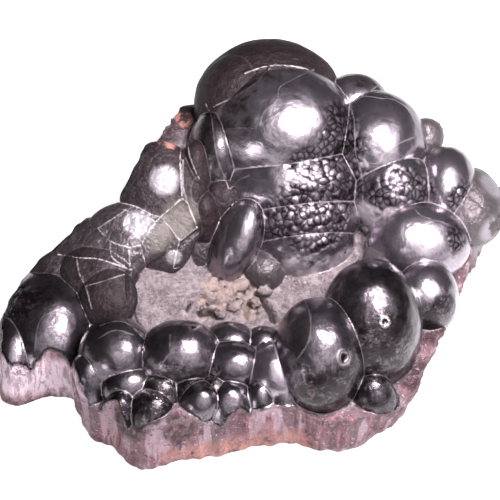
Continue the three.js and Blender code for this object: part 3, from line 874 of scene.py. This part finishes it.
# ---------------------------------------------------------------- finishes
def stone_material(sizes, looks):
    """One finish for the whole stone, that reads what each place of the surface is."""
    material = bpy.data.materials.new("hematite stone")
    material.use_nodes = True
    sheet = Sheet(material.node_tree)

    def mark(name):
        return sheet.add("ShaderNodeAttribute", out="Fac", attribute_name=name)

    def paint(under, name, share):
        """Lays one of the looks' colours over another by a share."""
        return sheet.blend(share, under, (*getattr(looks, name), 1.0))

    def mixed(first, second, share):
        """A mix of two of the looks' colours."""
        return paint((*getattr(looks, first), 1.0), second, share)

    coords = sheet.add("ShaderNodeTexCoord", out="Object")
    place = sheet.vector("SCALE", coords, scale=1.0 / MM)
    ground, broken, seam, dull, tone, height, beads = map(mark, (
        "ground", "broken", "seam", "dull", "tone", "height", "beads"))
    tan, rust, white, dark, brown, brink, pit = map(mark, (
        "tan", "rust", "white", "dark", "brown", "brink", "pit"))
    cloud, speck, grain, mottle, wander, patch = (sheet.noise(place, *row) for row in NOISES.values())
    bare = ((1.0 - ground) * (1.0 - broken)).clamped()
    rest = 1.0 - bare

    # The skin of the lobes: metallic, beaded, dull or matte, with painted shade and painted glints in
    # places.
    # The dark patches paint shade here: they lower the tone and strengthen the mottle and specks.
    lightness = (tone * (1.0 - dark) + (cloud - 0.5) * 0.45 + (mottle - 0.5) * (0.3 + dark * 0.6)
                 + (speck - 0.5) * (0.3 + dark * 0.5) + (grain - 0.5) * 0.2).clamped()
    skin = mixed("lobe_dark", "lobe_light", lightness)
    skin = paint(skin, "lobe_brown", mottle.rise(0.5, 0.66) * cloud.rise(0.4, 0.6) * 0.4)
    cells = {"Vector": sheet.uneven(place, 1.0), "Scale": MM / sizes.bead_size}
    moat = sheet.add("ShaderNodeTexVoronoi", cells, feature="DISTANCE_TO_EDGE")
    tint = sheet.add("ShaderNodeTexVoronoi", cells, out="Color", feature="F1")
    bead_tone = sheet.add("ShaderNodeSeparateColor", {"Color": tint})
    # Painted shade in the gaps between the beads; each bead also has its own random tone.
    gap = (moat - (speck - 0.5) * 0.2).fade(0.0, 0.3)
    skin = paint(skin, "lobe_dark", beads * (0.3 + 0.3 * bead_tone + 0.5 * gap))
    # Painted shade in the pits of the dark patches.
    skin = paint(skin, "crevice_shade_and_crust", dark * mottle.fade(0.4, 0.56) * 0.9)
    flat = mixed("dull_dark", "dull_skin", (lightness + (speck - 0.5) * 0.5).clamped())
    flat = paint(flat, "dull_tan", tan * 0.7)
    # Painted highlights and glints on the dull plates, mixed with a real pale skin.
    flat = paint(flat, "dull_pale_and_glint", white * 0.8)
    skin = sheet.blend(dull, skin, flat)
    # Painted shade with a brown tint over the top and left of the dome and on the left facets.
    skin = paint(skin, "dull_brown", brown * (0.35 + 0.5 * mottle.rise(0.35, 0.65)))
    matte = white * (1.0 - dull) * mottle.rise(0.3, 0.7)
    skin = paint(skin, "hollow_pale", matte)

    # Pale seams between the lobes and along the drawn lines, and the dark edge of the crust.
    grown = (seam / (0.05 + wander.rise(0.35, 0.75) * 0.22)).fade(0.5, 1.5)
    grown = grown * (0.05 + 0.45 * cloud + 0.6 * tone) * (1.0 - dull * 0.8)
    drawn = (mark("line") / (0.1 + wander.rise(0.3, 0.75) * 0.12)).fade(0.3, 1.6)
    drawn = drawn * mark("line_strength") * (0.7 + dull * 0.3)
    pale = grown.maths("MAXIMUM", drawn) * bare * brink.rise(0.4, 1.0)
    surface = sheet.blend(pale, skin, mixed("seam", "ridge", dull))
    # The crust's own dark edge along the broken sides.
    surface = paint(surface, "crevice_shade_and_crust", (brink + (speck - 0.5)).fade(0.1, 0.5) * 0.8)

    # The matte ground of the hollow, with painted shade in its gaps.
    earth = mixed("hollow_grey", "hollow_pink", speck.rise(0.3, 0.7))
    earth = paint(earth, "hollow_pale", mottle.rise(0.5, 0.62) * 0.5)
    earth = paint(earth, "hollow_tan", tan * mottle.rise(0.35, 0.55) * 0.85)
    # Painted shade in the gaps of the ground.
    earth = paint(earth, "crevice_shade_and_crust", mottle.fade(0.34, 0.42) * (0.35 + 0.5 * tan))
    surface = sheet.blend(ground, surface, earth)

    # The broken sides: fibres in columns, a bleached part, pale specks that are partly painted glints, a
    # stain, painted shade in crevices and dark patches, and the crust's brown edge.
    streak = sheet.noise(sheet.drawn_out(place, STREAK_DRAW), 1.2, 4.0, 0.6)
    column = sheet.noise(sheet.drawn_out(place, COLUMN_DRAW), 2.4, 2.0, 0.5)
    stone = mixed("base_mauve", "base_pink", streak.rise(0.38, 0.62))
    stone = paint(stone, "base_dusk", patch.rise(0.45, 0.58) * 0.8)
    stone = paint(stone, "base_mauve", column.fade(0.38, 0.46) * 0.7)
    stone = paint(stone, "base_pale", column.rise(0.56, 0.62) * 0.3)
    stone = paint(stone, "base_pale", mark("bleached") * (0.4 + 0.6 * streak.rise(0.42, 0.56)))
    # Pale specks: partly pale grains, partly painted glints.
    stone = paint(stone, "base_pale", speck.rise(0.58, 0.7) * 0.55)
    stain = rust * height.fade(2.0, 6.0) + patch.rise(0.52, 0.62) * 0.4 * height.fade(1.0, 5.0)
    stone = paint(stone, "base_rust", stain * mottle.rise(0.36, 0.6))
    # Painted shade: the dark patches also darken the broken base in mottled spots.
    stone = paint(stone, "dull_brown", dark * mottle.rise(0.36, 0.5) * 0.85)
    # Painted shade in the crevices of the broken base.
    stone = paint(stone, "crevice_shade_and_crust", mottle.fade(0.32, 0.42) * 0.7)
    crust = (height + (patch - 0.5) * 14.0).rise(13.0, 17.0)
    stone = sheet.blend(crust * 0.85, stone, mixed("lobe_dark", "lobe_brown", speck.rise(0.4, 0.7)))
    rim = (seam + (mottle - 0.5) * 2.4).fade(0.2, 0.7) * height.rise(3.0, 5.0)
    stone = paint(stone, "lobe_brown", rim * 0.7)
    surface = sheet.blend(broken, surface, stone)

    # What lies over all of it: stained spots, cracks and ring-shaped pits, with painted shade in the
    # cracks and in the pits' middles.
    surface = paint(surface, "base_rust", rust * (1.0 - broken) * mottle.rise(0.4, 0.55))
    crack = (mark("crack") / (0.16 + mark("crack_strength") * 0.7)).fade(0.3, 1.0)
    # Painted shade in the cracks.
    surface = paint(surface, "crevice_shade_and_crust", crack * 0.92)
    surface = paint(surface, "hollow_pale", pit.rise(0.1, 0.5) * 0.8)
    # Painted shade in the sunk middle of each pit.
    surface = paint(surface, "crevice_shade_and_crust", pit.fade(-0.5, -0.1))

    metal = 0.95 - dull * (0.45 + tan * 0.35) - dark * 0.2 - brown * 0.1
    metal = bare * (1.0 - pale) * metal * (1.0 - rust) * (1.0 - matte)
    rough = 0.21 + cloud * 0.1 + dull * (0.08 + tan * 0.1 + tone.fade(0.0, 0.4) * 0.25)
    rough = rough + pale * 0.2 + beads * 0.14 + matte * 0.3
    grains = sheet.vector("FLOOR", sheet.vector("SCALE", place, scale=1.4))
    glint = sheet.add("ShaderNodeTexWhiteNoise", {0: grains}, out="Value", noise_dimensions="3D")
    rough = rough * bare + rest * (0.62 - glint.rise(0.8, 0.85) * 0.4)
    fine = ((sheet.noise(place, 2.2, 2.0) - 0.5) * 0.14 + (mottle - 0.5) * (dull + dark) * 0.5
            + (speck - 0.5) * (0.03 + dull * 0.12))
    fine = fine * bare + rest * ((speck - 0.5) * 0.3 + (grain - 0.5) * 0.16)
    bump = sheet.add("ShaderNodeBump", {"Strength": 1.0, "Distance": MM, "Height": fine})
    coat = bare * (1.0 - beads) * (1.0 - dull) * 0.35
    shader = sheet.add("ShaderNodeBsdfPrincipled", {
        "Base Color": surface, "Metallic": metal.clamped(), "Roughness": rough.clamped(), "Normal": bump,
        "Coat Weight": coat.clamped(), "Coat Roughness": 0.19, "Specular IOR Level": 0.3})
    sheet.add("ShaderNodeOutputMaterial", {"Surface": shader})
    return material


def floor_material(looks):
    """A plain pale finish that glows, as a lit sheet under the stone does."""
    material = bpy.data.materials.new("pale floor")
    material.use_nodes = True
    sheet = Sheet(material.node_tree)
    shader = sheet.add("ShaderNodeBsdfPrincipled", {"Base Color": (*looks.floor, 1.0), **FLOOR_FINISH})
    sheet.add("ShaderNodeOutputMaterial", {"Surface": shader})
    return material


# ---------------------------------------------------------------- settings
def measure(name, description, default):
    """A size that is given in millimetres."""
    return FloatProperty(name=name, description=description, default=default * MM, unit="LENGTH")


def colour(name, description, *default):
    """A colour of the finish or the floor."""
    return FloatVectorProperty(name=name, description=description, default=default, subtype="COLOR",
                               min=0.0, max=1.0)


class StoneSizes(bpy.types.PropertyGroup):
    """Sizes of the relief and of the steps that the stone is cut with"""
    swell: measure("Swell", "Height of the soft swells on a lobe", 0.45)
    bead_size: measure("Bead size", "Width of one bead of the beaded skin", 1.4)
    bead_height: measure("Bead height", "How far a bead stands out", 0.22)
    grit_height: measure("Grit height", "Roughness of the matte ground", 0.75)
    fibre_width: measure("Fibre width", "Width of one fibre on the broken sides", 1.3)
    fibre_height: measure("Fibre height", "How far a fibre stands out", 0.8)
    fracture_height: measure("Fracture height", "Roughness of the broken sides", 0.8)
    crack_depth: measure("Crack depth", "Depth of the widest cracks in the hollow", 1.4)
    lump_height: measure("Lump height", "How far the lumps of a broken side stand out", 1.5)
    finest_edge: FloatProperty(name="Finest edge", description="Longest edge in beads and seams, in mm",
                               default=0.36, min=0.1)
    form_step: FloatProperty(name="Form step", description="Spacing of the ground and the sides, in mm",
                             default=0.66, min=0.3)


class StoneLooks(bpy.types.PropertyGroup):
    """Colours of the stone and the floor, and the view"""
    lobe_dark: colour("Lobe dark", "Dark metallic skin", 0.021, 0.015, 0.019)
    lobe_brown: colour("Lobe brown", "Brownish clouds of the metallic skin", 0.10, 0.07, 0.075)
    lobe_light: colour("Lobe light", "Lighter metallic skin", 0.42, 0.365, 0.415)
    dull_dark: colour("Dull dark", "Darker part of the dull plates", 0.02, 0.013, 0.016)
    dull_skin: colour("Dull skin", "Lighter part of the dull plates", 0.105, 0.088, 0.094)
    dull_tan: colour("Dull tan", "Tan part of the dull plates", 0.10, 0.083, 0.073)
    # Paints pale skin and also highlights and glints on the dull plates.
    dull_pale_and_glint: colour("Dull pale", "Pale part of the dull plates", 0.33, 0.30, 0.33)
    # A near-black brown that paints shade over the dome's top and in the dark patches of the base.
    dull_brown: colour("Dull brown", "Dark brown skin over the top of the dome", 0.015, 0.007, 0.008)
    seam: colour("Seam", "Pale filling of the seams", 0.18, 0.157, 0.17)
    ridge: colour("Ridge", "Pale ridges between the dull plates", 0.36, 0.32, 0.33)
    hollow_grey: colour("Hollow grey", "Grey of the matte ground", 0.10, 0.08, 0.087)
    hollow_pink: colour("Hollow pink", "Pinkish part of the matte ground", 0.20, 0.155, 0.165)
    hollow_pale: colour("Hollow pale", "Pale part of the matte ground", 0.29, 0.25, 0.262)
    hollow_tan: colour("Hollow tan", "Tan part of the matte ground", 0.25, 0.185, 0.165)
    # Paints shade in cracks, gaps and pits, and the crust's own dark edge along the broken sides.
    crevice_shade_and_crust: colour("Crevice", "Dark of cracks and deep grit", 0.012, 0.008, 0.009)
    base_mauve: colour("Base mauve", "Darker fibres of the broken base", 0.09, 0.04, 0.052)
    base_pink: colour("Base pink", "Lighter fibres of the broken base", 0.245, 0.12, 0.14)
    base_dusk: colour("Base dusk", "Greyer patches of the broken base", 0.14, 0.09, 0.104)
    base_pale: colour("Base pale", "Palest fibres of the broken base", 0.56, 0.44, 0.50)
    base_rust: colour("Base rust", "Salmon stain low on the base", 0.33, 0.15, 0.12)
    floor: colour("Floor", "Plain pale floor", 0.5, 0.5, 0.51)
    view_elevation: FloatProperty(name="View elevation", description="Height angle of the camera",
                                  default=math.radians(43), subtype="ANGLE")
    view_distance: FloatProperty(name="View distance", description="Camera to stone",
                                 default=0.45, unit="LENGTH")


# ---------------------------------------------------------------- operators
class STONE_OT_grow(bpy.types.Operator):
    """Grow the whole stone: lobes, matte ground and broken base in one mesh"""
    bl_idname = "stone.grow"
    bl_label = "Grow stone"

    def execute(self, context):
        sizes, looks = context.scene.stone_sizes, context.scene.stone_looks
        material = stone_material(sizes, looks)
        ground = placed("ground_form", ground_mesh(sizes.form_step))
        block = placed("block_form", block_mesh(sizes.form_step, sizes.lump_height / MM))
        forms = (form_tree(ground.data), form_tree(block.data))
        stone = placed("hematite_stone", lobe_points())
        run_tree(stone, lobe_tree(), {"Ground": ground, "Block": block, "Stone": material})
        for form in (ground, block):
            bpy.data.objects.remove(form)
        mesh = stone.data
        if len(mesh.polygons) < FEWEST_FACES:
            raise RuntimeError("the lobes didn't join")
        clean_shell(mesh, WELD)
        points, owner = mark_surfaces(mesh, *forms)[:2]
        sight = Sight(mesh, looks)
        lines = {"line": line_tree(sight, SEAMS), "crack": line_tree(sight, CRACKS)}
        pits = [(np.array(sight.place(across, above)), radius) for across, above, radius in RING_PITS]
        centres = points[face_corners(mesh)].mean(1)
        near = ((line_marks(centres, *lines["line"])[0] < SEAM_REACH)
                | (line_marks(centres, *lines["crack"])[0] < CRACK_REACH))
        beaded = (patch_share(centres, sight, "beads") > 0) & (owner >= 0)
        rubble = (patch_share(centres, sight, "tan") > 0) & ((owner == ON_GROUND) | (owner >= len(LOBES)))
        refine(mesh, near | beaded | rubble, sizes.finest_edge)
        points, owner, low, high = mark_surfaces(mesh, *forms)
        self.store_kinds(mesh, points, low, high, form_gaps(forms[1], points))
        for name, (tree, strengths) in lines.items():
            away, strength = line_marks(points, tree, strengths)
            store(mesh, name, np.minimum(away, FAR))
            store(mesh, name + "_strength", strength)
        for name in PATCHES:
            share = patch_share(points, sight, name)
            store(mesh, name, share * (low >= 0) * (high < len(LOBES)) if name == "beads" else share)
        pit = np.zeros(len(points))
        for centre, radius in pits:
            away = np.linalg.norm(points - centre, axis=1) / radius
            ring = np.exp(-((away - 1) / RING_WIDTH) ** 2)
            pit = np.where(away < RING_REACH, ring, pit)
            pit = np.where(away < RING_HOLE, -1.0, pit)
        store(mesh, "pit", pit)
        values = {name: getattr(sizes, name.lower().replace(" ", "_")) for name in RELIEF_SIZES}
        run_tree(stone, relief_tree(), {**values, "Stone": material})
        mesh = stone.data
        mesh.shade_smooth()
        print("stone triangles", len(mesh.polygons))
        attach(stone, "root")
        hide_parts(NODE)
        return {"FINISHED"}

    @staticmethod
    def store_kinds(mesh, points, low, high, inside):
        """Stores what each point belongs to, how it looks there and how far inside the edge it is."""
        names = [row[0] for row in FORMS]
        dull_lobe = np.array([name.startswith(DULL) for name in names], float)
        tone_lobe = np.array([next(tone for start, tone in TONES if name.startswith(start))
                              for name in names])
        number = np.clip(high, 0, len(names) - 1)
        margin = np.clip((BROKEN_MARGIN - inside) / BROKEN_MARGIN * 2, 0, 1)
        on_ground = (high == ON_GROUND) | (high >= len(LOBES))
        store(mesh, "crust", (low >= 0) & (high < len(LOBES)))
        store(mesh, "ground", on_ground * (1 - margin))
        store(mesh, "broken", np.where(on_ground, margin, (high <= ON_SIDE).astype(float)))
        store(mesh, "dull", dull_lobe[number] * (high >= 0))
        store(mesh, "tone", tone_lobe[number])
        store(mesh, "height", points[:, 2])
        store(mesh, "brink", np.minimum(inside, FAR))
        ends = np.empty(len(mesh.edges) * 2, np.int32)
        mesh.edges.foreach_get("vertices", ends)
        mixed = (low != high)[ends.reshape(-1, 2)]
        crease = mesh.attributes.new("crease", "BOOLEAN", "EDGE")
        crease.data.foreach_set("value", mixed.all(1))


class STONE_OT_stage(bpy.types.Operator):
    """Set out the floor, the lights, the surroundings and the camera"""
    bl_idname = "stone.stage"
    bl_label = "Set the stage"

    def execute(self, context):
        looks = context.scene.stone_looks
        bpy.ops.mesh.primitive_plane_add(size=FLOOR_SIZE, location=(0, 0, 0))
        floor = context.active_object
        floor.name = "floor"
        floor.data.materials.append(floor_material(looks))
        right, up, back = view_axes(looks.view_elevation)
        lens = bpy.data.cameras.new("camera")
        lens.sensor_width = SENSOR_WIDTH
        lens.lens = SENSOR_WIDTH * looks.view_distance / VIEW_WIDTH
        lens.clip_start = CLIP_START
        context.scene.camera = self.aimed(lens, back * looks.view_distance)
        for name, across, above, towards, size, power in LAMPS:
            light = bpy.data.lights.new(name, "AREA")
            light.shape = "DISK"
            light.size = size
            light.energy = power
            light.color = LAMP_COLOUR
            self.aimed(light, right * across + up * above + back * towards)
        world = bpy.data.worlds.new("surroundings")
        context.scene.world = world
        world.use_nodes = True
        sheet = Sheet(world.node_tree)
        sheet.add("ShaderNodeOutputWorld", {"Surface": sheet.add("ShaderNodeBackground", SKY)})
        context.scene.view_settings.view_transform = "Standard"
        return {"FINISHED"}

    @staticmethod
    def aimed(data, way):
        """Sets a camera or a lamp out along a way from the view's target, turned back to it."""
        piece = placed(data.name, data)
        piece.location = view_target() + way
        piece.rotation_euler = way.to_track_quat("Z", "Y").to_euler()
        return piece


class STONE_PT_sidebar(bpy.types.Panel):
    """Lists the stone's sizes, colours and steps"""
    bl_label = "Stone"
    bl_idname = "STONE_PT_sidebar"
    bl_space_type = "VIEW_3D"
    bl_region_type = "UI"
    bl_category = "Stone"

    def draw(self, context):
        for group in (context.scene.stone_sizes, context.scene.stone_looks):
            for name in group.__annotations__:
                self.layout.prop(group, name)
        self.layout.operator(STONE_OT_grow.bl_idname)
        self.layout.operator(STONE_OT_stage.bl_idname)


CLASSES = (StoneSizes, StoneLooks, STONE_OT_grow, STONE_OT_stage, STONE_PT_sidebar)


def register():
    for cls in CLASSES:
        bpy.utils.register_class(cls)
    bpy.types.Scene.stone_sizes = PointerProperty(type=StoneSizes)
    bpy.types.Scene.stone_looks = PointerProperty(type=StoneLooks)


def unregister():
    del bpy.types.Scene.stone_looks
    del bpy.types.Scene.stone_sizes
    for cls in reversed(CLASSES):
        bpy.utils.unregister_class(cls)


def main():
    register()
    bpy.ops.stone.grow()
    bpy.ops.stone.stage()


if __name__ == "__main__":
    main()
